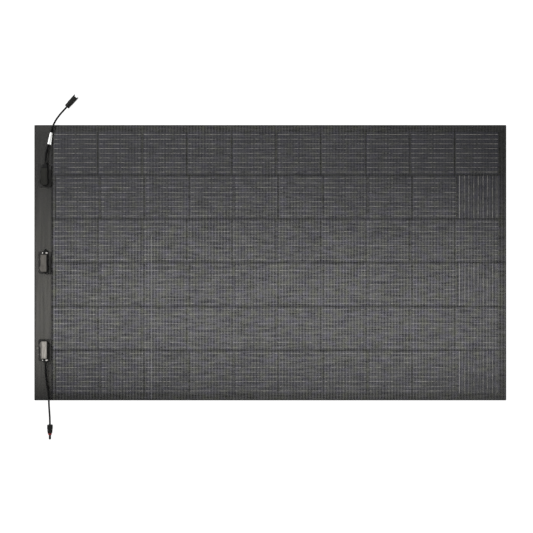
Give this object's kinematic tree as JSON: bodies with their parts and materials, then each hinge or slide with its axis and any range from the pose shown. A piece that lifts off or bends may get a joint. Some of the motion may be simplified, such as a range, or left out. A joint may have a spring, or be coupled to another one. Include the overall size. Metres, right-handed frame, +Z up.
{
  "type": "flexible solar sheet",
  "caption": "Thin flexible solar laminate with rows of cells under a clear film, small junction boxes along one end, and two leads ending in mating connectors.",
  "frame": {"origin": "middle of the sheet's underside, on the surface that it lies on", "axes": "+X along the cell rows, away from the junction boxes; +Y across the rows, towards the end with the latch-finger connector; +Z up, out of the front film"},
  "size_m": [1.774, 1.2931, 0.0211],
  "materials": {
    "backsheet": "black, matte",
    "encapsulant": "clear",
    "cell": "dark blue-black, fine grid lines",
    "ribbon": "tinned, satin",
    "ribbon_black": "tinned, coated black",
    "front_film": "clear, embossed, satin",
    "bond": "matt adhesive",
    "box_plastic": "black, fine grain",
    "terminal": "tinned",
    "diode": "black moulding",
    "potting": "grey filling",
    "lid_upper": "dark grey",
    "lid_middle": "mid grey",
    "lid_lower": "light grey",
    "lead_jacket": "black, satin",
    "label": "white paper film",
    "connector_plastic": "black, semi-gloss",
    "seal": "black rubber",
    "seal_ring": "red rubber"
  },
  "bodies": {
    "panel": {"backsheet": "backsheet", "rear_encapsulant": "encapsulant", "cell_row_1": "cell", "cell_row_2": "cell", "cell_row_3": "cell", "cell_row_4": "cell", "cell_row_5": "cell", "cell_row_6": "cell", "ribbon_row_1": "ribbon", "ribbon_row_2": "ribbon", "ribbon_row_3": "ribbon", "ribbon_row_4": "ribbon", "ribbon_row_5": "ribbon", "ribbon_row_6": "ribbon", "cross_ribbons": "ribbon_black", "bus_ribbons": "ribbon_black", "front_encapsulant": "encapsulant", "front_sheet": "front_film", "box_upper_pad": "bond", "box_upper_base": "box_plastic", "box_upper_ribbon_tails": "ribbon", "box_upper_terminals": "terminal", "box_upper_diode": "diode", "box_upper_potting": "potting", "box_middle_pad": "bond", "box_middle_base": "box_plastic", "box_middle_ribbon_tails": "ribbon", "box_middle_terminals": "terminal", "box_middle_diode": "diode", "box_middle_potting": "potting", "box_lower_pad": "bond", "box_lower_base": "box_plastic", "box_lower_ribbon_tails": "ribbon", "box_lower_terminals": "terminal", "box_lower_diode": "diode", "box_lower_potting": "potting", "port_plug_middle": "box_plastic", "gland_upper": "box_plastic", "gland_lower": "box_plastic", "lead_upper": "lead_jacket", "lead_lower": "lead_jacket", "lead_label": "label", "socket_housing": "connector_plastic", "socket_seal": "seal", "socket_contact": "terminal", "plug_housing": "connector_plastic", "plug_seal": "seal", "plug_contact": "terminal", "plug_seal_ring": "seal_ring"},
    "upper_lid": {"box_upper_lid": "lid_upper"},
    "middle_lid": {"box_middle_lid": "lid_middle"},
    "lower_lid": {"box_lower_lid": "lid_lower"},
    "socket_nut": {"socket_cap_nut": "connector_plastic"},
    "plug_nut": {"plug_cap_nut": "connector_plastic"}
  },
  "joints": [
    {"name": "upper_lid_lift", "type": "slide", "parent": "panel", "child": "upper_lid", "axis": [0, 0, 1], "range_m": [0, 0.03]},
    {"name": "middle_lid_lift", "type": "slide", "parent": "panel", "child": "middle_lid", "axis": [0, 0, 1], "range_m": [0, 0.03]},
    {"name": "lower_lid_lift", "type": "slide", "parent": "panel", "child": "lower_lid", "axis": [0, 0, 1], "range_m": [0, 0.03]},
    {"name": "socket_nut_turn", "type": "hinge", "parent": "panel", "child": "socket_nut", "pos_m": [-0.75813, 0.58993, 0.0106], "axis": [0.6707, 0.7417, 0], "range_deg": [0, 720]},
    {"name": "plug_nut_turn", "type": "hinge", "parent": "panel", "child": "plug_nut", "pos_m": [-0.8265, -0.6157, 0.0106], "axis": [0, -1, 0], "range_deg": [0, 720]}
  ]
}
